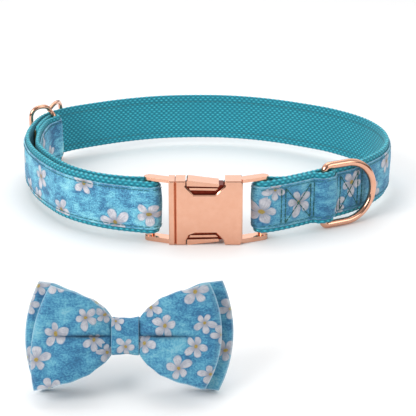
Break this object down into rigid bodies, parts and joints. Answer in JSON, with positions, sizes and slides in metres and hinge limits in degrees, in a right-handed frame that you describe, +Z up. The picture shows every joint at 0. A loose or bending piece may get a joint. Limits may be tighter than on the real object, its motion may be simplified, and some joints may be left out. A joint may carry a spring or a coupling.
{
  "type": "pet collar with detachable bow tie",
  "caption": "Fastened pet collar of woven webbing with a floral strip, a metal side-release buckle, a slide and a leash ring, with its cloth bow tie standing in front.",
  "frame": {"origin": "on the floor under the middle of the collar and its bow tie together", "axes": "+Y from the bow tie through the buckle to the back of the neck, +Z up, +X to the side of the leash ring"},
  "size_m": [0.1884, 0.3034, 0.0378],
  "materials": {
    "webbing": "matt woven polyester webbing, teal",
    "printed_cloth": "matt printed cotton, small pale blossoms on mottled blue",
    "rose_gold": "polished rose gold plate on cast alloy",
    "elastic": "plain flat elastic, teal",
    "thread": "dark green polyester thread"
  },
  "bodies": {
    "collar": {"webbing": "webbing", "printed_strip": "printed_cloth", "buckle_female": "rose_gold", "buckle_male": "rose_gold", "slide": "rose_gold", "bow_front": "printed_cloth", "bow_back": "printed_cloth", "bow_knot": "printed_cloth", "bow_loop": "elastic"},
    "d_ring": {"d_ring": "rose_gold"}
  },
  "joints": [
    {"name": "d_ring_swing", "type": "hinge", "parent": "collar", "child": "d_ring", "pos_m": [0.05568, 0.01604, 0.0165], "axis": [0, 0, -1], "range_deg": [0, 150]}
  ]
}
